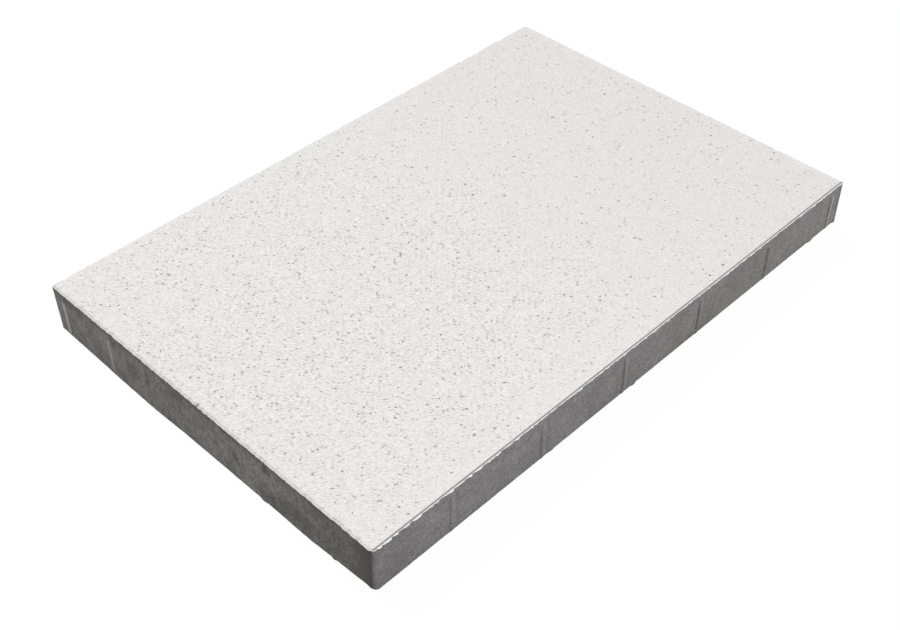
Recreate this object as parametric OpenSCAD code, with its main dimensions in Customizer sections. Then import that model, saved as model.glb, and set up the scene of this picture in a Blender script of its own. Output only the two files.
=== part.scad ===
// Concrete paving slab, cast in one piece.
// The walking face stands on a low bevel inside a narrow flat land, and small upright
// spacer ribs on the four sides keep the joint open between two slabs.
// X runs along the slab, Y across it and Z up from the bed, with the origin at the
// centre of the bed.

/* [Slab] */
// Length of the body, without its ribs
body_l = 597; // [400:1:900]
// Width of the body, without its ribs
body_w = 397; // [250:1:600]
// Thickness from the bed to the walking face
slab_t = 50; // [30:1:80]
// Radius of the four upright corners
corner_r = 4; // [3:0.5:10]

/* [Top edge] */
// Width of the flat land round the walking face
land_w = 1.4; // [0.5:0.1:2.6]
// Width of the bevel between the land and the walking face, seen from above
bevel_w = 1.2; // [0.5:0.1:2.4]
// Height of the walking face above the land
bevel_h = 1.2; // [0.5:0.1:3]

/* [Spacer ribs] */
// How far a rib stands out from its side
rib_proud = 1.5; // [0.5:0.1:4]
// Width of a rib where it meets its side
rib_root_w = 5; // [3:0.1:10]
// Width of the outer face of a rib
rib_face_w = 2.6; // [1:0.1:3]
// Depth from the walking face to the top end of a rib
rib_top_gap = 8.5; // [4:0.5:20]
// Height of the sloped top end of a rib
rib_slope_h = 2.5; // [1:0.5:8]
// Distance from a corner to the middle of the rib beside it
rib_corner_gap = 15.5; // [9:0.5:40]
// Distance from a corner to the middle of the rib that stands farther in
rib_inset = 79.5; // [55:0.5:110]
// Number of ribs on each long side
long_ribs = 6; // [2:1:10]

/* [Hidden] */
$fn = 64;
land_z = slab_t - bevel_h;
// A rib's root goes as deep into the body as the rib stands out of it.
rib_bury = rib_proud;
rib_bury_w = 2 * rib_root_w - rib_face_w;
rib_h = slab_t - rib_top_gap;
long_pitch = (body_l - rib_inset - rib_corner_gap) / (long_ribs - 1);
long_places = [for (i = [0 : long_ribs - 1]) rib_inset + i * long_pitch];
short_places = [rib_corner_gap, rib_inset];

// Edge of the section from the bed up to the walking face, with the side at distance d.
function edge(d) = [
    [d, 0],
    [d, land_z],
    [d - land_w, land_z],
    [d - land_w - bevel_w, slab_t]
];

// Whole section across a stretch of width w, with an edge at either end.
function section(w) = [
    each edge(w / 2),
    for (i = [3 : -1 : 0]) [-edge(w / 2)[i].x, edge(w / 2)[i].y]
];

// Straight stretch of the body along X.
module stretch(length, w) {
    rotate([90, 0, 90])
        linear_extrude(length, center = true)
            polygon(section(w));
}

// Rounded corner of the body, turned from the same edge.
module corner() {
    rotate_extrude()
        polygon([[0, 0], each edge(corner_r), [0, slab_t]]);
}

// The body: two stretches that cross, with a turned corner in each of the four gaps.
module body() {
    straight_l = body_l - 2 * corner_r;
    straight_w = body_w - 2 * corner_r;
    stretch(straight_l, body_w);
    rotate(90)
        stretch(straight_w, body_l);
    for (x = [-straight_l / 2, straight_l / 2], y = [-straight_w / 2, straight_w / 2])
        translate([x, y, 0])
            corner();
}

// One rib standing out towards -Y from a side at y = 0, from the bed to its sloped top end.
module rib() {
    intersection() {
        linear_extrude(rib_h)
            polygon([
                [-rib_bury_w / 2, rib_bury],
                [-rib_face_w / 2, -rib_proud],
                [rib_face_w / 2, -rib_proud],
                [rib_bury_w / 2, rib_bury]
            ]);
        rotate([90, 0, 90])
            linear_extrude(rib_bury_w, center = true)
                polygon([
                    [rib_bury, 0],
                    [-rib_proud, 0],
                    [-rib_proud, rib_h - rib_slope_h],
                    [0, rib_h],
                    [rib_bury, rib_h]
                ]);
    }
}

// The ribs of one side of length l, at places measured from the side's -X end.
module side_ribs(l, depth, places) {
    for (place = places)
        translate([place - l / 2, -depth / 2, 0])
            rib();
}

// Opposite sides carry the same ribs half a turn apart, so those of neighbours miss each other.
module slab() {
    color("gainsboro") {
        body();
        for (turn = [0, 180])
            rotate(turn) {
                side_ribs(body_l, body_w, long_places);
                rotate(-90)
                    side_ribs(body_w, body_l, short_places);
            }
    }
}

slab();
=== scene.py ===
"""Looks of the concrete paving slab: a blasted white face with fine pits, a stepped rim with a ragged white
flash, and plain grey sides with spacer ribs. Everything is in metres, in the frame of the CAD part."""

import math
from typing import NamedTuple

import bpy
import numpy as np
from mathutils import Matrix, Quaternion, Vector
from mathutils.geometry import delaunay_2d_cdt

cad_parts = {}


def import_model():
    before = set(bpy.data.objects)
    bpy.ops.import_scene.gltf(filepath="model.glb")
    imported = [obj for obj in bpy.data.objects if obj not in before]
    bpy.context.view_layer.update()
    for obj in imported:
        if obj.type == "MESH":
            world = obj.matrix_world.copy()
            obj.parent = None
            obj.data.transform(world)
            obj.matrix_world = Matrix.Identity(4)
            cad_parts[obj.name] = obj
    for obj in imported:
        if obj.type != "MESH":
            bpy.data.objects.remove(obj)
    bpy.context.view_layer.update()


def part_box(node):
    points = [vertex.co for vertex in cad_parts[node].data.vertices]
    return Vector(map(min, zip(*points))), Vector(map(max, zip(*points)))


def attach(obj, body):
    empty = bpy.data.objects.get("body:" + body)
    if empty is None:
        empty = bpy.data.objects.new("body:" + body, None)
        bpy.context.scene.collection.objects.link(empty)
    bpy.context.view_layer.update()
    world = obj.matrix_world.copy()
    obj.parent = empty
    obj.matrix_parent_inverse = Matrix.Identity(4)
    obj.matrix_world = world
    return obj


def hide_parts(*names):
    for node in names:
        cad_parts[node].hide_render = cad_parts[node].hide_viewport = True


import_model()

MM = 0.001
SEED = 11
rng = np.random.default_rng(SEED)

# Sizes that the CAD part has too
RIB_PROUD = 1.5 * MM
RIB_ROOT_W = 5.0 * MM
RIB_TOP_GAP = 8.5 * MM
RIB_SLOPE_H = 2.5 * MM
RIB_CORNER_GAP = 15.5 * MM
RIB_INSET = 79.5 * MM
LONG_RIBS = 6
BEVEL_H = 1.2 * MM

SLAB_LOW, SLAB_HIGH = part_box("slab")
SLAB_T = SLAB_HIGH.z
BODY_L = SLAB_HIGH.x - SLAB_LOW.x - 2 * RIB_PROUD
BODY_W = SLAB_HIGH.y - SLAB_LOW.y - 2 * RIB_PROUD
LAND_Z = SLAB_T - BEVEL_H
RIB_TOP = SLAB_T - RIB_TOP_GAP

# Sides in the order of the walk round the slab, and the spacing of the stations along them
NEAR, RIGHT, FAR, LEFT = range(4)
STATION_STEP = np.array((1.1, 2.4, 2.6, 1.2)) * MM
STATION_JITTER = 0.3
# Corners at the ends of the sides, and how far each stands out at the bed and at the rim
CORNER_R = np.array((3.0, 3.0, 3.0, 5.0)) * MM
CORNER_STEPS = 6
FIN_LOW = np.array((1.8, 0.4, -0.6, 0.0)) * MM
FIN_HIGH = np.array((1.1, 0.2, 0.1, 0.6)) * MM

# Worn height of the bed's edge, evenly spaced along each side
BED_WEAR = np.array((
    (1.9, 1.8, 1.95, 2.2, 2.5, 2.8, 3.1),
    (3.1, 2.0, 1.5, 1.4, 1.2, 1.0, 1.0),
    (1.0, 0.8, 1.0, 1.3, 0.9, 1.2, 1.6),
    (3.0, 0.6, 0.0, 0.8, 1.5, 1.6, 6.6),
)) * MM
BED_WEAR_LEAST = 0.3 * MM
WEAR_SWING = 0.4 * MM
WEAR_REACH = 4
CORNER_WEAR = np.array((0.3, 0.5, 0.3, 0.3)) * MM
CORNER_WEAR_SPAN = 8 * MM
# How far the bed is set in for its worn height, and at most
BED_INSET_SHARE = 0.7
BED_INSET_MOST = 4.2 * MM
# Painted shade along the bed's edge, and on the worn arris above it
BED_EDGE_SHADE = 0.6
BED_ARRIS_SHADE = 0.2
BED_STEP = 30 * MM

# The sides: heights of their rings, their waves, and the shade under the rim
SIDE_LEVELS = np.array((9, 28, 39, 41.5, 45)) * MM
SIDE_WAVE = 0.15 * MM
SIDE_WAVE_REACH = 7
UNDER_SHADE = 0.25

# Stages across a rib as share of half its root, height, and painted highlight on long and on short sides
RIB_STAGES = (
    (-1.0, 0.0, 0.0, 0.0),
    (-0.76, 0.5, 0.0, 0.0),
    (-0.52, 0.94, 0.0, 0.0),
    (0.0, 1.0, 0.3, 0.0),
    (0.52, 0.94, 1.0, 0.8),
    (0.76, 0.5, 0.0, 1.0),
    (1.0, 0.0, 0.0, 0.0),
)
# Height and painted highlight that each rib of a long and of a short side keeps, and the height of its worn
# foot
LONG_RIB_STATE = ((0.6, 0.0), (0.7, 0.05), (0.9, 0.2), (1.0, 0.05), (0.9, 0.05), (0.8, 1.0))
SHORT_RIB_STATE = ((1.0, 1.0), (0.7, 0.65))
LONG_RIB_FOOT = 0.2
SHORT_RIB_FOOT = 0.05
# Streaks of painted shade beside the first ribs of the long sides
STREAK_RIBS = 4
STREAK_OFFSET = 6.8 * MM
STREAK_HALF = 2.2 * MM
STREAK_DARK = 0.3


class Rim(NamedTuple):
    """Rim of one side. Pairs hold the value at the side's start and at its end.

    The flash stands out from a land below a lip. A share of it is even, and its root keeps some white skin.
    The line at the foot of the lip and the side under the rim are darkened with painted shade, and a dull rim
    shows the grain of the open face."""
    land_w: tuple
    land_z: float
    lip_w: float
    flash: tuple
    even: float
    line: float
    root: float
    under: float
    dull: float


# The long sides have a narrow land below a steep lip, the short sides a low slope
LONG_RIM = Rim(land_w=(0.55 * MM, 1.05 * MM), land_z=LAND_Z + 0.15 * MM, lip_w=0.2 * MM,
               flash=(2.2 * MM, 0.65 * MM), even=0.15, line=1.0, root=0.5, under=0.0, dull=0.0)
SHORT_RIM = Rim(land_w=(0.3 * MM, 0.3 * MM), land_z=LAND_Z + 0.6 * MM, lip_w=1.4 * MM,
                flash=(0.15 * MM, 0.1 * MM), even=0.3, line=0.2, root=0.0, under=1.0, dull=0.2)
RIMS = (LONG_RIM, SHORT_RIM._replace(land_z=LAND_Z), LONG_RIM._replace(flash=(0.1 * MM, 0.0)), SHORT_RIM)
# Lumps of the flash: ranges of length in mm, height and lean, and mean gap in mm
LUMP_SPAN = (2.5, 12)
LUMP_TALL = (0.3, 1.3)
LUMP_LEAN = (0.2, 1.6)
LUMP_GAP = 1.5
# How steeply a lump rises, where along it the lean turns, and the least that its roughness leaves of it
LUMP_STEEP = 7
LUMP_PIVOT = 0.7
LUMP_LEAST = 0.5
# The flash gets shorter along its side, and its form goes down from the land to the tip and the root
FLASH_FALL = 5.0
FLASH_DROP = 0.35
FLASH_TOP = 0.03 * MM
FLASH_TOP_SLOPE = 0.1
FLASH_ROUND = 0.08 * MM
FLASH_TIP = 0.15 * MM
FLASH_TIP_SKIN = 0.35
FLASH_ROOT = 0.3 * MM
# The dark line of painted shade at the foot of the lip, and the crest from the lip to the face
LINE_W = 0.12 * MM
LINE_EDGE = 0.08
LINE_LIP = 0.85
LINE_LEAST = 0.85
LINE_REACH = 5
LIP_GAP = 0.3 * MM
CREST_W = 0.5 * MM
CREST_GAP = 0.07 * MM
CREST_OPEN = 0.2
# Shares of a chip's depth by which it cuts the rings of the rim back and down
CUT_ROOT = (0.3, 0.5)
CUT_TIP = (0.75, 0.5)
CUT_TOP = (0.85, 0.45)
CUT_LAND = (0.9, 0.4)
CUT_LIP = (0.8, 0.3)
CUT_CREST = (0.6, 0.15)
CUT_FACE = (0.5, 0.0)


class Mark(NamedTuple):
    """A local mark of one side, at a place from the side's start."""
    side: int
    place: float
    half: float
    tall: float


def marks_in_mm(*rows):
    """Marks from rows of side, place, half width and height."""
    return [Mark(side, place * MM, half * MM, tall * MM) for side, place, half, tall in rows]


# Chips of the rim, burrs of the bed's edge, and number of small nicks along each rim with their ranges in mm
CHIPS = marks_in_mm((LEFT, 86, 3.0, 1.3), (LEFT, 102, 1.6, 1.2), (LEFT, 199, 2.0, 1.5))
BURRS = marks_in_mm((NEAR, 192, 3, 0.6), (NEAR, 295, 2, 1.1), (NEAR, 557, 3, 1.1), (LEFT, 355, 1.8, 0.9),
                    (LEFT, 275, 4, 0.7), (LEFT, 320, 18, 0.25), (LEFT, 120, 50, 0.7))
BURR_RISE = 0.8
NICKS = (0, 12, 20, 110)
NICK_HALF = (0.8, 2.2)
NICK_DEPTH = (0.4, 1.3)
# A chip this deep starts to show grey and to be darkened, fully so after the fade
CHIP_GREY_DEPTH = 1.25 * MM
CHIP_FADE = 0.25 * MM
CHIP_DARKEN = 0.6
CHIP_LIP_SKIN = 0.7

# Openness of the walking face: its least, where it falls off along X, and calm strips along two edges
OPEN_LEAST = 0.36
OPEN_END = 25 * MM
OPEN_FALL = 32 * MM
OPEN_MIDDLE = -40 * MM
OPEN_WIDTH = 150 * MM
OPEN_MIDDLE_SHARE = 0.3
NEAR_CALM = 0.9
NEAR_CALM_SPAN = 35 * MM
LEFT_CALM = 0.4
LEFT_CALM_SPAN = 15 * MM
FACE_MARGIN = 4.0 * MM
# Net of grain between the pits
GRAIN_STEP = 2.5 * MM
GRAIN_JITTER = 0.4
GRAIN_DEPTH = 0.4 * MM
GRAIN_POWER = 1.5
GRAIN_CLEAR = 0.2 * MM
GRAIN_CLEAR_SHARE = 1.7
# Pits: number, radii, distance, size at the left and the right end of the face, and tries to find a place
PIT_COUNT = 5000
PIT_R_MIN = 0.35 * MM
PIT_R_MAX = 1.15 * MM
PIT_R_POWER = 2.2
PIT_R_MIDDLE = 0.6 * MM
PIT_CLEAR = 0.6 * MM
PIT_GROWTH = (0.92, 1.1)
PIT_TRIES = 40
PIT_LEAST_CHANCE = 0.3
# Small pits gather round others
CLUSTER_SHARE = 0.45
CLUSTER_W = 5 * MM
# Form of a pit: direction and its spread, ranges of stretch, depth and raggedness, and corners by size
PIT_TURN = math.radians(-45)
PIT_TURN_SPREAD = 0.35
PIT_STRETCH = (1.15, 1.8)
PIT_DEPTH = (0.5, 1.0)
PIT_RAGGED = (0.65, 1.1)
PIT_SMALL = 0.7 * MM
PIT_SMALL_SIDES = 5
PIT_SIDES = 7
# Steps of a pit from its rim to its middle, as shares of its radius, depth and darkening; the darkening
# is partly dark grit and partly painted shade in the hollow
PIT_STEPS = ((1.0, 0.03, 0.0), (0.6, 0.85, 0.8), (0.0, 1.0, 1.0))
# Share of the pits of middle size up to each darkness, and how it shifts with size and towards the right
PIT_CHANCE = (0.0, 0.74, 0.78, 1.0)
PIT_DARK = (0.05, 0.42, 0.9, 1.0)
PIT_SIZE_SHIFT = 0.7 / (0.55 * MM)
PIT_RIGHT_SHIFT = -0.9
# How the two flat faces are filled with triangles, and the angle from which an edge is sharp
FILL_INSIDE = 1
FILL_MERGE = 1e-9
SHARP_ANGLE = math.radians(34)

# Colours of the white face mix and of the grey core mix
# The rim's white is brighter: a painted highlight
WHITE_RIM_HIGHLIGHT = (0.93, 0.915, 0.9, 1)
WHITE_COOL = (0.79, 0.782, 0.766, 1)
WHITE_WARM = (0.807, 0.774, 0.752, 1)
# Dark of the face's specks, which also darkens its grime and painted shade
SPECK = (0.17, 0.165, 0.16, 1)
GREY = (0.323, 0.311, 0.317, 1)
GREY_WARM = (0.43, 0.404, 0.376, 1)
GREY_PALE = (0.62, 0.605, 0.59, 1)
# Dark grey of the core mix's painted shade, grime and stains
GREY_SHADE_AND_STAIN = (0.13, 0.126, 0.122, 1)
# Pale grey of the painted highlights on the ribs
GREY_HIGHLIGHT = (0.86, 0.83, 0.8, 1)
GREY_BROWN = (1.0, 0.97, 0.95, 1)
# Middle of the cooler part of the face, and what brings its reach to 1
COOL_MIDDLE = (-55 * MM, 60 * MM, SLAB_T)
COOL_SHARE = (1 / 0.185, 1 / 0.22, 0.0)
COOL_FADE = (0.35, 1.25)
# Openness up to which the rim gets its painted highlight, and how the face fades towards +X
RIM_FADE = (0.0, 0.15)
FACE_FADE_FROM = -150 * MM
FACE_FADE = (1.015, 0.96)
# Grain and specks of the face: sizes, drawn-out form, and how strong they are at least and where it is open
FACE_GRAIN = 0.85 * MM
FACE_GRAIN_LEAST = 0.4
FACE_GRAIN_OPEN = 0.45
FACE_DRAWN = (0.32, 1.0, 1.0)
SPECK_CELL = 1.45 * MM
SPECK_R = (0.2 * MM, 0.62 * MM)
SPECK_CROWD = 9 * MM
SPECK_WARP = 1.5 * MM
SPECK_BEND = (0.8 * MM, 1.0 * MM, 0.0)
SPECK_CROWD_FADE = (0.35, 0.65)
SPECK_CROWD_LEAST = 0.3
SPECK_LEAST = 0.1
SPECK_OPEN = 0.9
# How far grime and painted shade darken the face: grit and painted shade in pit floors, painted shade at the
# lip's foot
FACE_GRIME_AND_SHADE = 0.95
# Depth from the left side over which its own look ends
LEFT_FADE = (1.0 * MM, 2.5 * MM)
# Warm and brown parts of the core mix: blotches, where they run along the sides, and how strong they are
BLOTCH = 24 * MM
BLOTCH_FADE = (0.4, 0.6)
WARM_FADE = (-170 * MM, -60 * MM)
WARM_LEAST = 0.6
WARM_BLOTCH_LEAST = 0.7
FAINT_BLOTCH = 16 * MM
FAINT_FADE = (0.5, 0.7)
FAINT_MOST = 0.15
BROWN_FADE = (-60 * MM, 10 * MM)
BROWN_BLOTCH_LEAST = 0.3
# Mottle of the core mix: its strength, more on the left side, and the tone at the two ends of the long sides:
# painted light towards the right end and on the right side, darker towards the left end and on the left side
MOTTLE = 1.2
MOTTLE_LEFT = 0.9
RIGHT_END = (150 * MM, 250 * MM)
RIGHT_END_LIGHT = 1.1
LEFT_END = (-BODY_L / 2, -230 * MM)
LEFT_END_TONE = 0.84
# Size and swing of each pattern of the mottle
CLOUD = 26 * MM
CLOUD_SWING = 0.36
PATCH = 5 * MM
PATCH_SWING = 0.48
STREAK = 3 * MM
STREAK_SWING = 0.22
STREAK_DRAWN = (1.0, 1.0, 0.12)
CORE_GRAIN = 1.4 * MM
CORE_GRAIN_SWING = 0.65
CORE_GRAIN_LEAST = 0.75
CORE_GRAIN_DRAWN = (1.0, 1.0, 0.7)
# Pale spots of the core mix
PALE_CELL = 9 * MM
PALE_R = (0.5 * MM, 1.2 * MM)
PALE_MOST = 0.9
# Painted shade towards the near corner of the left side, wide and close to the corner, and how far grime and
# painted shade darken the core mix
CORNER_SHADE_LEFT = (0.8 * MM, 2.2 * MM)
CORNER_SHADE_WIDE = (2 * MM, 70 * MM)
CORNER_SHADE_WIDE_MOST = 0.55
CORNER_SHADE_CLOSE = (3 * MM, 40 * MM)
CORNER_SHADE_CLOSE_MOST = 0.85
CORE_GRIME_AND_SHADE = 0.6
# Dark stains of the left side as place along Y, height, half size both ways, and strength, and how they bend
STAINS = (
    (-82, 43, 7, 9, 0.8), (28, 43, 6, 8, 0.55), (19, 43, 5, 7, 0.6), (112, 43, 6, 9, 0.5),
    (66, 32, 4, 14, 0.5), (88, 26, 12, 10, 0.35), (-45, 27, 6, 7, 0.5), (-19, 23, 5, 7, 0.35),
    (-116, 17, 36, 13, 0.5), (-85, 8, 28, 9, 0.45), (-174, 22, 3, 16, 0.4), (168, 45, 26, 8, 0.4),
)
STAIN_REACH = 2 * MM
STAIN_WARP = 6 * MM
STAIN_BEND = (0.0, 14 * MM, 14 * MM)
STAIN_FADE = (0.3, 1.0)
# Share of a spot's radius that is full
SPOT_CORE = 0.55
# Ragged line between the two mixes, and fine relief of both
SKIN_WARP = 4 * MM
SKIN_SWING = 1.6
SKIN_LINE = (0.42, 0.58)
RELIEF = 1.3 * MM
RELIEF_DEPTH = 0.45 * MM
RELIEF_STRENGTH = 0.8
ROUGHNESS = 0.92
SPECULAR = 0.25

# The stage
WHITE = (1, 1, 1, 1)
SKY = 0.5
FLOOR_GLOW = 0.965
FLOOR_SHADE = (0.05, 0.05, 0.05, 1)
FLOOR_BOUNCE = (0.25, 0.25, 0.25, 1)
FLOOR_HALF = 8.0
# The floor lies just under the bed and ends this far inside the slab's outline, so that the bed gets light
FLOOR_DROP = 0.05 * MM
FLOOR_OPEN = 6.0 * MM
CAMERA_SENSOR = 36.0
CAMERA_LENS = 53.382
CAMERA_PLACE = (-0.6653, -0.6348, 0.7959)
CAMERA_AIM = (-0.0490, -0.0294, 0.0)
CAMERA_ROLL = math.radians(0.116)


# The outline of the slab, walked anticlockwise from the near corner


def side_length(side):
    """Length of the body along one side."""
    return BODY_W if side % 2 else BODY_L


def rib_places(side):
    """Middles of the ribs along one side."""
    if side % 2:
        return np.array((RIB_CORNER_GAP, RIB_INSET))
    return np.linspace(RIB_INSET, BODY_L - RIB_CORNER_GAP, LONG_RIBS)


def side_stations(side):
    """Places along one side between its corners, with the rib's height and painted highlight at each of them.
    """
    step = STATION_STEP[side]
    ribs = rib_places(side)
    plain = np.arange(CORNER_R[side - 1] + step, side_length(side) - CORNER_R[side] - step / 2, step)
    plain = plain + rng.uniform(-STATION_JITTER, STATION_JITTER, len(plain)) * step
    clear = np.min(np.abs(plain[:, None] - ribs[None]), axis=1) > RIB_ROOT_W / 2 + step / 2
    found = [(place, 0.0, 0.0) for place in plain[clear]]
    states = SHORT_RIB_STATE if side % 2 else LONG_RIB_STATE
    for middle, (tall, pale) in zip(ribs, states):
        for share, height, *rub in RIB_STAGES:
            found.append((middle + share * RIB_ROOT_W / 2, height * tall, rub[side % 2] * pale))
    return sorted(found)


class Station(NamedTuple):
    """One place of the outline in plan: its point, its outward direction and what belongs to it."""
    x: float
    y: float
    out_x: float
    out_y: float
    side: int
    share: float
    place: float
    rib: float
    rub: float
    fin_low: float
    fin_high: float
    corner: bool


def walk_side(side):
    """Stations along one side and round the corner at its end."""
    length = side_length(side)
    depth = side_length(side + 1)
    turn = side * math.pi / 2
    along = np.array((math.cos(turn), math.sin(turn)))
    out = np.array((math.sin(turn), -math.cos(turn)))
    found = []
    for place, rib, rub in side_stations(side):
        spot = along * (place - length / 2) + out * depth / 2
        found.append(Station(*spot, *out, side, place / length, place, rib, rub, 0.0, 0.0, False))
    radius = CORNER_R[side]
    centre = along * (length / 2 - radius) + out * (depth / 2 - radius)
    for step in range(CORNER_STEPS + 1):
        angle = step / CORNER_STEPS * math.pi / 2
        radial = out * math.cos(angle) + along * math.sin(angle)
        owner = (side, 1.0, length) if 2 * step <= CORNER_STEPS else ((side + 1) % 4, 0.0, 0.0)
        fins = np.array((FIN_LOW[side], FIN_HIGH[side])) * math.sin(2 * angle)
        found.append(Station(*(centre + radial * radius), *radial, *owner, 0.0, 0.0, *fins, True))
    return found


class Outline:
    """Stations round the slab, as one array for each of their values."""

    def __init__(self):
        stations = [station for side in range(4) for station in walk_side(side)]
        columns = Station(*np.array(stations, float).T)
        self.count = len(stations)
        self.points = np.column_stack((columns.x, columns.y))
        self.outs = np.column_stack((columns.out_x, columns.out_y))
        self.side = columns.side.astype(int)
        self.share = columns.share
        self.place = columns.place
        self.length = np.where(self.side % 2, BODY_W, BODY_L)
        self.rib = columns.rib
        self.rub = columns.rub
        self.fin_low = columns.fin_low
        self.fin_high = columns.fin_high
        self.straight = np.flatnonzero(columns.corner == 0)

    def fin(self, z):
        """How far a corner stands out at height z."""
        return self.fin_high + (self.fin_low - self.fin_high) * (1 - z / LAND_Z)

    def rim(self, name):
        """One value of the rim at every station, run evenly along each side."""
        values = [getattr(rim, name) for rim in RIMS]
        pairs = [value if isinstance(value, tuple) else (value, value) for value in values]
        starts, ends = np.array(pairs)[self.side].T
        return starts * (1 - self.share) + ends * self.share

    def marks(self, found):
        """Height of local marks."""
        height = np.zeros(self.count)
        for mark in found:
            bump = mark.tall * np.clip(1 - ((self.place - mark.place) / mark.half) ** 2, 0, 1) ** 0.5
            height = np.maximum(height, np.where(self.side == mark.side, bump, 0))
        return height

    def wear(self):
        """How far the bed's edge is worn away, a little more at the corners."""
        shares = np.linspace(0, 1, BED_WEAR.shape[1])
        even = np.choose(self.side, [np.interp(self.share, shares, side) for side in BED_WEAR])
        at_start = np.roll(CORNER_WEAR, 1)[self.side] * np.exp(-self.place / CORNER_WEAR_SPAN)
        at_end = CORNER_WEAR[self.side] * np.exp((self.place - self.length) / CORNER_WEAR_SPAN)
        worn = even + (at_end + at_start) + WEAR_SWING * (wander(self.count, WEAR_REACH) - 0.5)
        return np.interp(np.arange(self.count), self.straight, worn[self.straight], period=self.count)

    def lumps(self):
        """Angular lumps of uneven length along the rim, with short gaps between them."""
        height = np.zeros(self.count)
        for side in range(4):
            at = 0.0
            while at < side_length(side):
                span = rng.uniform(*LUMP_SPAN) * MM
                tall = rng.uniform(*LUMP_TALL)
                lean = rng.uniform(*LUMP_LEAN)
                u = (self.place - at) / span
                inside = (self.side == side) & (u >= 0) & (u < 1)
                form = np.minimum(1, LUMP_STEEP * np.minimum(u, 1 - u)) * (1 + lean * (u - LUMP_PIVOT))
                height[inside] = tall * form[inside]
                at += span + rng.exponential(LUMP_GAP) * MM
        return height

    def flash(self):
        """How far the flash of the rim stands out."""
        lumps = self.lumps()
        even = self.rim("even")
        starts, ends = np.array([rim.flash for rim in RIMS])[self.side].T
        reach = ends + (starts - ends) * np.exp(-FLASH_FALL * self.share)
        rough = LUMP_LEAST + rng.random(self.count)
        return np.minimum(reach * (even + (1 - even) * lumps * rough), RIB_PROUD)


def nicks():
    """Small nicks of the rim."""
    found = []
    for side, number in enumerate(NICKS):
        for _ in range(number):
            place = rng.uniform(0, side_length(side))
            half = rng.uniform(*NICK_HALF) * MM
            depth = rng.uniform(*NICK_DEPTH) * MM
            found.append(Mark(side, place, half, depth))
    return found


def rib_shade_streaks():
    """Streaks of painted shade beside the first ribs of the long sides."""
    return [Mark(side, place + STREAK_OFFSET, STREAK_HALF, STREAK_DARK)
            for side in (NEAR, FAR) for place in rib_places(side)[:STREAK_RIBS]]


def wander(count, reach):
    """A smooth random series round the slab, from 0 to 1, whose swings span about reach stations."""
    raw = rng.random(count)
    kernel = np.hanning(reach + 2)[1:-1]
    smooth = np.convolve(np.tile(raw, 3), kernel / kernel.sum(), "same")[count:2 * count]
    return (smooth - smooth.min()) / (smooth.max() - smooth.min())


# The slab's mesh: rings from the bed up to the walking face, closed by two filled faces


class Rings:
    """Rings round the slab. Their rows hold x, y, z, grime and painted shade, skin, openness and painted
    highlight.
    """

    def __init__(self, line):
        self.line = line
        self.chip = line.marks([*CHIPS, *nicks()])
        self.chipped = np.clip((self.chip - CHIP_GREY_DEPTH) / CHIP_FADE, 0, 1)
        self.found = []

    def add(self, offset, z, grime_and_shade=0.0, skin=0.0, rub=0.0, cut=(0.0, 0.0), dull=0.0):
        """Adds one ring, cut back and down by shares of the chips' depth."""
        count = self.line.count
        reach = np.broadcast_to(offset - cut[0] * self.chip, count)
        flat = self.line.points + self.line.outs * reach[:, None]
        # Deep chips are darkened
        chip_dark = CHIP_DARKEN * self.chipped if cut[0] else 0.0
        columns = (z - cut[1] * self.chip, np.maximum(grime_and_shade, chip_dark), skin, dull, rub)
        self.found.append(np.column_stack([flat] + [np.broadcast_to(v, count) for v in columns]))


def rib_rise(z):
    """Share of a rib's full depth at height z."""
    return min(1.0, max(0.0, (RIB_TOP - z) / RIB_SLOPE_H))


def add_sides(rings):
    """Adds the rings of the bed's edge and of the sides with their ribs."""
    line = rings.line
    wear = line.wear()
    burr = line.marks(BURRS)
    rib = RIB_PROUD * line.rib
    foot = np.where(line.side % 2, SHORT_RIB_FOOT, LONG_RIB_FOOT)
    # The bed's edge and the worn arris above it get painted shade
    rings.add(burr - np.minimum(BED_INSET_SHARE * wear, BED_INSET_MOST), 0.0, BED_EDGE_SHADE)
    rings.add(foot * rib + BURR_RISE * burr + line.fin_low, np.maximum(wear, BED_WEAR_LEAST), BED_ARRIS_SHADE)
    under = line.rim("under")
    streak = line.marks(rib_shade_streaks())
    for z in SIDE_LEVELS:
        wave = SIDE_WAVE * (wander(line.count, SIDE_WAVE_REACH) - 0.5) * (1 - line.rib)
        rise = rib_rise(z)
        # Painted shadow under the rim, and streaks of painted shade beside the first ribs
        shade = UNDER_SHADE * under if z > RIB_TOP else streak
        # The ribs keep their painted highlights
        rings.add(rib * rise + wave + line.fin(z), z, shade, rub=line.rub * rise)


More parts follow.
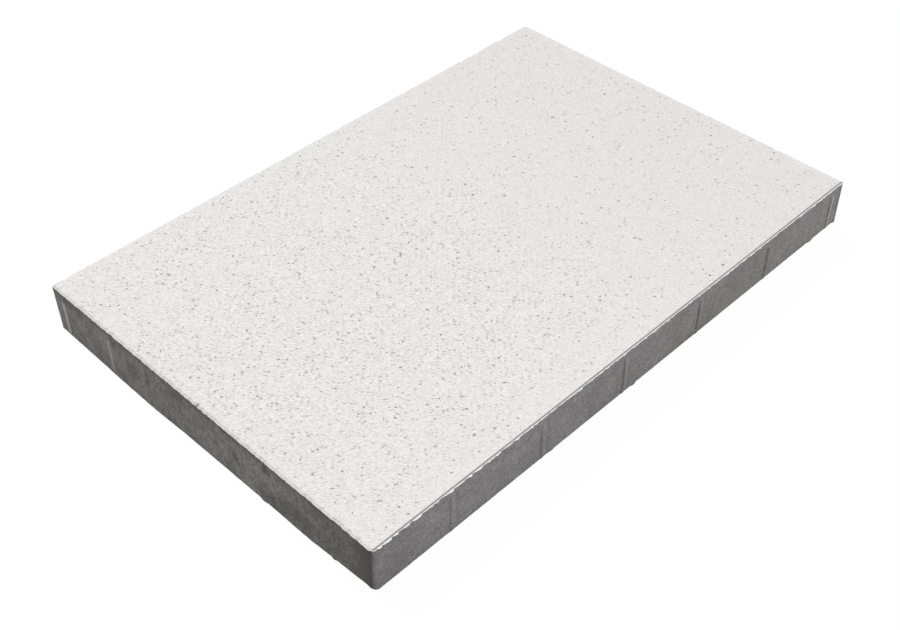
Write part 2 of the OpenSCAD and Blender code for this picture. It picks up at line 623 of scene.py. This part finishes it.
def add_rim(rings):
    """Adds the rings of the rim, from the root of the flash over the land and the lip to the walking face."""
    line = rings.line
    flash = line.flash()
    drop = FLASH_DROP * flash
    # The line at the foot of the lip is painted shade in its crease, strongest on the long sides
    dark = line.rim("line") * (LINE_LEAST + (1 - LINE_LEAST) * wander(line.count, LINE_REACH))
    root = line.rim("root")
    dull = line.rim("dull")
    low = line.rim("land_z")
    bare = 1 - rings.chipped
    lip_skin = 1 - CHIP_LIP_SKIN * rings.chipped
    side = line.fin_high
    foot = side - line.rim("land_w")
    crest = foot - line.rim("lip_w")
    tip_skin = np.maximum(root, FLASH_TIP_SKIN) * bare
    # The root of the flash gets painted shadow under the rim on the short sides
    rings.add(side, low - FLASH_ROOT - drop, line.rim("under"), root * bare, cut=CUT_ROOT)
    rings.add(side + flash, low - FLASH_TIP - 0.5 * drop, 0.0, tip_skin, cut=CUT_TIP, dull=dull)
    top = low - FLASH_TOP - FLASH_TOP_SLOPE * flash
    rings.add(side + flash - FLASH_ROUND, top, 0.0, bare, cut=CUT_TOP, dull=dull)
    rings.add(foot + LINE_W, low, LINE_EDGE * dark, bare, cut=CUT_LAND, dull=dull)
    rings.add(foot, low, dark, bare, cut=CUT_LAND, dull=dull)
    rings.add(crest, SLAB_T - LIP_GAP, LINE_LIP * dark, lip_skin, cut=CUT_LIP, dull=dull)
    rings.add(crest - CREST_W, SLAB_T - CREST_GAP, 0.0, 1.0, cut=CUT_CREST, dull=CREST_OPEN)
    rings.add(crest - 2 * CREST_W, SLAB_T, 0.0, 1.0, cut=CUT_FACE, dull=CREST_OPEN)


def openness(x, y):
    """How open the face is, from 0 to 1: coarse towards -X, close towards +X and calm at its near edges."""
    coarse = 1 / (1 + np.exp((x - OPEN_END) / OPEN_FALL))
    middle = np.exp(-((y - OPEN_MIDDLE) / OPEN_WIDTH) ** 2)
    near = 1 - NEAR_CALM * np.exp(-(y + BODY_W / 2) / NEAR_CALM_SPAN)
    left = 1 - LEFT_CALM * np.exp(-(x + BODY_L / 2) / LEFT_CALM_SPAN)
    share = 1 - OPEN_MIDDLE_SHARE + OPEN_MIDDLE_SHARE * middle
    return OPEN_LEAST + (1 - OPEN_LEAST) * coarse * share * (near * left)


def scatter_pits(half_l, half_w):
    """Places and radii of pits that keep clear of each other, more of them where the face is open."""
    cell = 2 * PIT_R_MAX * max(PIT_GROWTH) + PIT_CLEAR
    around = [(a, b) for a in (-1, 0, 1) for b in (-1, 0, 1)]
    taken, pits = {}, []
    sizes = PIT_R_MIN + (PIT_R_MAX - PIT_R_MIN) * rng.random(PIT_COUNT) ** PIT_R_POWER
    for r in np.sort(sizes)[::-1]:
        for _ in range(PIT_TRIES):
            x, y = rng.uniform(-half_l, half_l), rng.uniform(-half_w, half_w)
            if r < PIT_R_MIDDLE and rng.random() < CLUSTER_SHARE:
                x, y = np.array(pits[rng.integers(len(pits))][:2]) + rng.normal(0, CLUSTER_W, 2)
            chance = PIT_LEAST_CHANCE + (1 - PIT_LEAST_CHANCE) * openness(x, y)
            if rng.random() > chance or abs(x) > half_l or abs(y) > half_w:
                continue
            size = r * np.interp(x, (-half_l, half_l), PIT_GROWTH)
            i, j = int(x // cell), int(y // cell)
            near = [pit for a, b in around for pit in taken.get((i + a, j + b), [])]
            if all(math.hypot(x - p[0], y - p[1]) > size + p[2] + PIT_CLEAR for p in near):
                taken.setdefault((i, j), []).append((x, y, size))
                pits.append((x, y, size))
                break
    return pits


def pit_rows(x, y, r):
    """Rim, floor ring and middle of one ragged pit, in rows like a ring's. Small pits have no floor."""
    small = r < PIT_SMALL
    sides = PIT_SMALL_SIDES if small else PIT_SIDES
    turn = rng.uniform(0, 2 * math.pi)
    tilt = rng.normal(PIT_TURN, PIT_TURN_SPREAD)
    stretch = rng.uniform(*PIT_STRETCH)
    depth = r * rng.uniform(*PIT_DEPTH)
    chance = rng.random() + PIT_SIZE_SHIFT * (r - PIT_R_MIDDLE) + PIT_RIGHT_SHIFT * (0.5 + x / BODY_L)
    dark = np.interp(chance, PIT_CHANCE, PIT_DARK)
    rows = []
    for share, drop, grime_and_shade in PIT_STEPS:
        if small and 0 < share < 1:
            continue
        for i in range(sides if share else 1):
            angle = turn + 2 * math.pi * (i + (0.0 if share == 1 else 0.5)) / sides
            reach = r * share * rng.uniform(*PIT_RAGGED)
            u, v = reach * math.cos(angle) * stretch, reach * math.sin(angle) / stretch
            px = x + u * math.cos(tilt) - v * math.sin(tilt)
            py = y + u * math.sin(tilt) + v * math.cos(tilt)
            rows.append((px, py, SLAB_T - depth * drop, grime_and_shade * dark, 1.0, openness(x, y), 0.0))
    return rows


def grain_rows(half_l, half_w, pits):
    """A loose net of points between the pits, with the fine relief of the blasted face."""
    xs, ys = np.meshgrid(np.arange(-half_l, half_l, GRAIN_STEP), np.arange(-half_w, half_w, GRAIN_STEP))
    x = (xs + rng.uniform(-GRAIN_JITTER, GRAIN_JITTER, xs.shape) * GRAIN_STEP).ravel()
    y = (ys + rng.uniform(-GRAIN_JITTER, GRAIN_JITTER, ys.shape) * GRAIN_STEP).ravel()
    free = np.ones(len(x), bool)
    for px, py, r in pits:
        near = np.flatnonzero((np.abs(x - px) < 2 * PIT_R_MAX) & (np.abs(y - py) < 2 * PIT_R_MAX))
        free[near] &= np.hypot(x[near] - px, y[near] - py) > GRAIN_CLEAR_SHARE * r + GRAIN_CLEAR
    x, y = x[free], y[free]
    z = SLAB_T - GRAIN_DEPTH * openness(x, y) * rng.random(len(x)) ** GRAIN_POWER
    none, full = np.zeros(len(x)), np.ones(len(x))
    return np.column_stack([x, y, z, none, full, openness(x, y), none])


def face_rows():
    """Points of the walking face inside its rim: the grain first, then the pits."""
    half_l, half_w = BODY_L / 2 - FACE_MARGIN, BODY_W / 2 - FACE_MARGIN
    pits = scatter_pits(half_l - 2 * PIT_R_MAX, half_w - 2 * PIT_R_MAX)
    return np.vstack([grain_rows(half_l, half_w, pits)] + [pit_rows(*pit) for pit in pits])


def bed_rows(columns):
    """Points of the plain bed inside its edge."""
    xs, ys = (np.arange(BED_STEP - side / 2, side / 2 - BED_STEP / 2, BED_STEP) for side in (BODY_L, BODY_W))
    rows = np.zeros((len(xs) * len(ys), columns))
    rows[:, :2] = [(x, y) for y in ys for x in xs]
    return rows


def wall_faces(number, count):
    """Faces between a number of rings of count points each."""
    faces = []
    for low in range(0, (number - 1) * count, count):
        high = low + count
        for i in range(count):
            j = (i + 1) % count
            faces.append([low + i, low + j, high + j, high + i])
    return faces


def cap_faces(ring, start, inner, first):
    """Faces that close a ring in plan through inner points, whose rows begin at start and at first."""
    count = len(ring)
    flat = [Vector(p[:2]) for p in ring] + [Vector(p[:2]) for p in inner]
    _, _, faces, origin, _, _ = delaunay_2d_cdt(flat, [], [list(range(count))], FILL_INSIDE, FILL_MERGE)
    rows = [*range(start, start + count), *range(first, first + len(inner))]
    return [[rows[origin[i][0]] for i in face] for face in faces]


def build_slab():
    """The slab as one closed mesh, with grime and painted shade, skin, openness and painted highlight kept at
    every point.
    """
    rings = Rings(Outline())
    add_sides(rings)
    add_rim(rings)
    walls, count = rings.found, rings.line.count
    face = face_rows()
    bed = bed_rows(face.shape[1])
    top, first = (len(walls) - 1) * count, len(walls) * count
    faces = wall_faces(len(walls), count)
    faces += cap_faces(walls[-1], top, face, first)
    faces += [corners[::-1] for corners in cap_faces(walls[0], 0, bed, first + len(face))]

    rows = np.vstack(walls + [face, bed])
    mesh = bpy.data.meshes.new("paving_slab")
    mesh.from_pydata(rows[:, :3].tolist(), [], faces)
    for column, name in enumerate(("grime_and_shade", "skin", "open", "rub"), 3):
        values = rows[:, column].astype(np.float32)
        mesh.attributes.new(name, "FLOAT", "POINT").data.foreach_set("value", values)
    mesh.polygons.foreach_set("use_smooth", np.ones(len(mesh.polygons), bool))
    mesh.set_sharp_from_angle(angle=SHARP_ANGLE)
    slab = bpy.data.objects.new("paving_slab", mesh)
    bpy.context.scene.collection.objects.link(slab)
    return slab


# The material: white face mix above a ragged line, grey core mix below it


class Tree:
    """Short ways to add and join the nodes of a material or of the world."""

    def __init__(self, owner):
        owner.use_nodes = True
        self.nodes = owner.node_tree.nodes
        self.links = owner.node_tree.links

    def add(self, kind, inputs=None, **settings):
        node = self.nodes.new(kind)
        for name, value in settings.items():
            setattr(node, name, value)
        for name, value in (inputs or {}).items():
            self.put(node.inputs[name], value)
        return node

    def put(self, socket, value):
        if isinstance(value, bpy.types.NodeSocket):
            self.links.new(value, socket)
        else:
            socket.default_value = value

    def attribute(self, name):
        return self.add("ShaderNodeAttribute", attribute_name=name).outputs["Fac"]

    def math(self, operation, a, b=0.0, c=0.0):
        return self.add("ShaderNodeMath", {0: a, 1: b, 2: c}, operation=operation).outputs[0]

    def vector(self, operation, a, b=(0, 0, 0), c=(0, 0, 0)):
        node = self.add("ShaderNodeVectorMath", {0: a, 1: b, 2: c}, operation=operation)
        return node.outputs["Value" if operation == "LENGTH" else "Vector"]

    def ramp(self, value, low, high, to_low=0.0, to_high=1.0):
        """A smooth step from to_low to to_high, as value goes from low to high."""
        inputs = {"Value": value, "From Min": low, "From Max": high, "To Min": to_low, "To Max": to_high}
        return self.add("ShaderNodeMapRange", inputs, interpolation_type="SMOOTHSTEP").outputs["Result"]

    def mix(self, share, a, b, blend="MIX"):
        """Colours a and b mixed, by the sockets that the node keeps for colours."""
        inputs = {0: share, 6: a, 7: b}
        return self.add("ShaderNodeMix", inputs, data_type="RGBA", blend_type=blend).outputs[2]

    def noise(self, vector, size, detail=2.0, roughness=0.5):
        inputs = {"Vector": vector, "Scale": 1 / size, "Detail": detail, "Roughness": roughness}
        return self.add("ShaderNodeTexNoise", inputs).outputs["Fac"]

    def warp(self, vector, size, detail):
        """Noise in three channels, to bend places with."""
        inputs = {"Vector": vector, "Scale": 1 / size, "Detail": detail}
        return self.add("ShaderNodeTexNoise", inputs).outputs["Color"]

    def swing(self, vector, size, reach, base=1.0, detail=3.0, roughness=0.6):
        """Noise that swings about base, by about a tenth of reach."""
        offset = self.math("SUBTRACT", self.noise(vector, size, detail, roughness), 0.5)
        return self.math("MULTIPLY_ADD", offset, reach, base)

    def spots(self, vector, size, radii, flat=False):
        """Round spots, one to a cell, whose radius and strength vary."""
        least, most = (r / size for r in radii)
        cells = self.add("ShaderNodeTexVoronoi", {"Vector": vector, "Scale": 1 / size},
                         voronoi_dimensions="2D" if flat else "3D")
        chance = self.add("ShaderNodeSeparateColor", {"Color": cells.outputs["Color"]}).outputs
        radius = self.math("MULTIPLY_ADD", self.math("POWER", chance[0], 2.0), most - least, least)
        inside = self.ramp(self.math("DIVIDE", cells.outputs["Distance"], radius), SPOT_CORE, 1.0, 1.0, 0.0)
        return self.math("MULTIPLY", inside, chance[1])

    def seen(self):
        """1 for the rays that show the background: straight from the camera, in a mirror or through glass."""
        rays = self.add("ShaderNodeLightPath").outputs
        beyond = self.math("MAXIMUM", rays["Is Glossy Ray"], rays["Is Transmission Ray"])
        return self.math("MAXIMUM", rays["Is Camera Ray"], beyond)


def face_white(t, place, x, open_face):
    """White of the face: cooler in one part, with a painted highlight on the rim, and fading a little towards
    +X.
    """
    middle = t.vector("MULTIPLY", t.vector("SUBTRACT", place, COOL_MIDDLE), COOL_SHARE)
    white = t.mix(t.ramp(t.vector("LENGTH", middle), *COOL_FADE), WHITE_COOL, WHITE_WARM)
    # Painted highlight on the rim
    white = t.mix(t.ramp(open_face, *RIM_FADE), WHITE_RIM_HIGHLIGHT, white)
    return white, t.ramp(x, FACE_FADE_FROM, BODY_L / 2, *FACE_FADE)


def face_mix(t, place, x, grime_and_shade):
    """White face mix: fine grain and drawn-out specks, both stronger where the face is open."""
    open_face = t.attribute("open")
    white, fade = face_white(t, place, x, open_face)
    turned = t.add("ShaderNodeVectorRotate", {"Vector": place, "Angle": -PIT_TURN}, rotation_type="Z_AXIS")
    drawn = t.vector("MULTIPLY", turned.outputs["Vector"], FACE_DRAWN)
    swing = t.math("MULTIPLY_ADD", open_face, FACE_GRAIN_OPEN, FACE_GRAIN_LEAST)
    tone = t.swing(drawn, FACE_GRAIN, swing, fade, detail=2.0)
    white = t.mix(1.0, white, tone, "MULTIPLY")
    bent = t.vector("MULTIPLY_ADD", t.warp(place, SPECK_WARP, 1.0), SPECK_BEND, drawn)
    crowd = t.ramp(t.noise(place, SPECK_CROWD), *SPECK_CROWD_FADE, SPECK_CROWD_LEAST)
    specks = t.math("MULTIPLY", t.spots(bent, SPECK_CELL, SPECK_R, flat=True), crowd)
    shown = t.math("MULTIPLY_ADD", open_face, SPECK_OPEN, SPECK_LEAST)
    white = t.mix(t.math("MULTIPLY", specks, shown), white, SPECK)
    # Grime and painted shade of the points: grit and painted shade in pit floors, painted shade at the lip's
    # foot
    return t.mix(t.math("MULTIPLY", grime_and_shade, FACE_GRIME_AND_SHADE), white, SPECK)


def left_share(t, x, depths):
    """1 on the left side, down to 0 over a range of depths behind it."""
    low, high = (depth - BODY_L / 2 for depth in depths)
    return t.ramp(x, low, high, 1.0, 0.0)


def core_grey(t, place, x, y, left):
    """Grey of the core mix: warm on the left side, faintly so elsewhere, and browner towards +X."""
    blotch = t.noise(place, BLOTCH)
    warm = t.ramp(blotch, *BLOTCH_FADE, WARM_BLOTCH_LEAST)
    warm = t.math("MULTIPLY", t.ramp(y, *WARM_FADE, WARM_LEAST), warm)
    faint = t.ramp(t.noise(place, FAINT_BLOTCH), *FAINT_FADE, 0.0, FAINT_MOST)
    grey = t.mix(t.math("MAXIMUM", t.math("MULTIPLY", warm, left), faint), GREY, GREY_WARM)
    brown = t.ramp(blotch, *BLOTCH_FADE, BROWN_BLOTCH_LEAST)
    brown = t.math("MULTIPLY", t.ramp(x, *BROWN_FADE), brown)
    return t.mix(brown, grey, GREY_BROWN, "MULTIPLY")


def core_tone(t, place, x, left):
    """Mottle of the core mix: clouds, patches, upright streaks and grain, stronger on the left side."""
    strength = t.math("MULTIPLY_ADD", left, MOTTLE_LEFT, MOTTLE)
    # Painted light towards the right end and on the right side; darker towards the left end and on the left
    # side
    right_end = t.ramp(x, *RIGHT_END, 1.0, RIGHT_END_LIGHT)
    left_end = t.ramp(x, *LEFT_END, LEFT_END_TONE)
    ends = t.math("MULTIPLY", right_end, left_end)
    cloud = t.swing(place, CLOUD, t.math("MULTIPLY", strength, CLOUD_SWING), ends)
    patch = t.swing(place, PATCH, t.math("MULTIPLY", strength, PATCH_SWING))
    upright = t.vector("MULTIPLY", place, STREAK_DRAWN)
    streak = t.swing(upright, STREAK, t.math("MULTIPLY", strength, STREAK_SWING))
    drawn = t.vector("MULTIPLY", place, CORE_GRAIN_DRAWN)
    grain_swing = t.math("MULTIPLY_ADD", strength, CORE_GRAIN_SWING, CORE_GRAIN_LEAST)
    grain = t.swing(drawn, CORE_GRAIN, grain_swing, detail=2.0, roughness=0.7)
    return t.math("MULTIPLY", t.math("MULTIPLY", cloud, patch), t.math("MULTIPLY", streak, grain))


def stain(t, place, y, z, half_y, half_z, strength):
    """A soft dark stain of the left side."""
    offset = t.vector("SUBTRACT", place, (-BODY_L / 2, y * MM, z * MM))
    scaled = t.vector("MULTIPLY", offset, (1 / STAIN_REACH, 1 / (half_y * MM), 1 / (half_z * MM)))
    return t.ramp(t.vector("LENGTH", scaled), *STAIN_FADE, strength, 0.0)


def core_shade_and_stains(t, place, x, y, grime_and_shade):
    """Dark parts of the core mix: painted shade at the left side's near corner, grime and painted shade, and
    stains.
    """
    # Painted shade towards the near corner of the left side
    corner = t.math("ADD", y, BODY_W / 2)
    wide = t.ramp(corner, *CORNER_SHADE_WIDE, CORNER_SHADE_WIDE_MOST, 0.0)
    close = t.ramp(corner, *CORNER_SHADE_CLOSE, CORNER_SHADE_CLOSE_MOST, 0.0)
    dark = t.math("MULTIPLY", t.math("MAXIMUM", wide, close), left_share(t, x, CORNER_SHADE_LEFT))
    dark = t.math("MAXIMUM", dark, t.math("MULTIPLY", grime_and_shade, CORE_GRIME_AND_SHADE))
    warp = t.vector("SUBTRACT", t.warp(place, STAIN_WARP, 2.0), (0.5, 0.5, 0.5))
    bent = t.vector("MULTIPLY_ADD", warp, STAIN_BEND, place)
    for spot in STAINS:
        dark = t.math("MAXIMUM", dark, stain(t, bent, *spot))
    return dark


def core_mix(t, place, x, y, grime_and_shade):
    """Grey core mix: mottled, with pale spots, painted rib highlights, and dark parts of painted shade and
    stains.
    """
    left = left_share(t, x, LEFT_FADE)
    grey = t.mix(1.0, core_grey(t, place, x, y, left), core_tone(t, place, x, left), "MULTIPLY")
    grey = t.mix(t.math("MULTIPLY", t.spots(place, PALE_CELL, PALE_R), PALE_MOST), grey, GREY_PALE)
    # Painted highlights on the ribs
    grey = t.mix(t.attribute("rub"), grey, GREY_HIGHLIGHT)
    # Painted shade, grime and stains darken the grey
    return t.mix(core_shade_and_stains(t, place, x, y, grime_and_shade), grey, GREY_SHADE_AND_STAIN)


def concrete():
    """White face mix over grey concrete, with a ragged line between them."""
    material = bpy.data.materials.new("concrete")
    t = Tree(material)
    shader = t.nodes["Principled BSDF"]
    place = t.add("ShaderNodeTexCoord").outputs["Object"]
    x, y, _ = t.add("ShaderNodeSeparateXYZ", {"Vector": place}).outputs
    grime_and_shade = t.attribute("grime_and_shade")
    skin = t.ramp(t.swing(place, SKIN_WARP, SKIN_SWING, t.attribute("skin")), *SKIN_LINE)
    relief = t.noise(place, RELIEF, 3.0, 0.6)
    bumps = {"Height": relief, "Distance": RELIEF_DEPTH, "Strength": RELIEF_STRENGTH}
    normal = t.add("ShaderNodeBump", bumps).outputs["Normal"]
    colour = t.mix(skin, core_mix(t, place, x, y, grime_and_shade), face_mix(t, place, x, grime_and_shade))
    t.put(shader.inputs["Base Color"], colour)
    t.put(shader.inputs["Normal"], normal)
    t.put(shader.inputs["Roughness"], ROUGHNESS)
    t.put(shader.inputs["Specular IOR Level"], SPECULAR)
    return material


# The stage: a white floor, soft light and the photograph's camera


def floor():
    """A pale floor, open under the slab, that shows white to the camera and keeps the slab's shadow."""
    rims = ((FLOOR_HALF, FLOOR_HALF), (BODY_L / 2 - FLOOR_OPEN, BODY_W / 2 - FLOOR_OPEN))
    turns = ((-1, -1), (1, -1), (1, 1), (-1, 1))
    points = [(x * half_x, y * half_y, -FLOOR_DROP) for half_x, half_y in rims for x, y in turns]
    faces = [(i, (i + 1) % 4, 4 + (i + 1) % 4, 4 + i) for i in range(4)]
    mesh = bpy.data.meshes.new("floor")
    mesh.from_pydata(points, [], faces)
    plane = bpy.data.objects.new("floor", mesh)
    bpy.context.scene.collection.objects.link(plane)
    material = bpy.data.materials.new("floor")
    t = Tree(material)
    shade = t.add("ShaderNodeBsdfDiffuse", {"Color": FLOOR_SHADE}).outputs[0]
    glow = t.add("ShaderNodeEmission", {"Color": WHITE, "Strength": FLOOR_GLOW}).outputs[0]
    pale = t.add("ShaderNodeAddShader", {0: shade, 1: glow}).outputs[0]
    dim = t.add("ShaderNodeBsdfDiffuse", {"Color": FLOOR_BOUNCE}).outputs[0]
    both = t.add("ShaderNodeMixShader", {0: t.seen(), 1: dim, 2: pale}).outputs[0]
    t.put(t.nodes["Material Output"].inputs["Surface"], both)
    mesh.materials.append(material)


def world():
    """An even sky that shows white to the camera."""
    sky = bpy.data.worlds.new("sky")
    bpy.context.scene.world = sky
    t = Tree(sky)
    light = t.nodes["Background"]
    t.put(light.inputs["Color"], WHITE)
    t.put(light.inputs["Strength"], SKY)
    shown = t.add("ShaderNodeBackground", {"Color": WHITE, "Strength": 1.0}).outputs[0]
    both = t.add("ShaderNodeMixShader", {0: t.seen(), 1: light.outputs[0], 2: shown}).outputs[0]
    t.put(t.nodes["World Output"].inputs["Surface"], both)


def sun(name, towards, level, softness):
    """A distant lamp that shines from the direction towards, where level 1 lights a white face fully."""
    lamp = bpy.data.lights.new(name, "SUN")
    lamp.energy = level * math.pi
    lamp.angle = math.radians(softness)
    obj = bpy.data.objects.new(name, lamp)
    obj.rotation_mode = "QUATERNION"
    obj.rotation_quaternion = Vector(towards).to_track_quat("Z", "Y")
    bpy.context.scene.collection.objects.link(obj)


def camera():
    """The camera that the photograph's edges give."""
    data = bpy.data.cameras.new("camera")
    data.sensor_width = CAMERA_SENSOR
    data.lens = CAMERA_LENS
    obj = bpy.data.objects.new("camera", data)
    obj.location = CAMERA_PLACE
    roll = Quaternion((0, 0, 1), CAMERA_ROLL)
    obj.rotation_mode = "QUATERNION"
    obj.rotation_quaternion = (Vector(CAMERA_AIM) - obj.location).to_track_quat("-Z", "Y") @ roll
    bpy.context.scene.collection.objects.link(obj)
    bpy.context.scene.camera = obj


slab = build_slab()
slab.data.materials.append(concrete())
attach(slab, "root")
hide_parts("slab")

floor()
world()
sun("key", towards=(0.05, 0.8, 0.85), level=0.6, softness=20)
sun("right_fill", towards=(0.65, -0.8, 0.35), level=0.3, softness=40)
camera()
bpy.context.scene.view_settings.view_transform = "Standard"
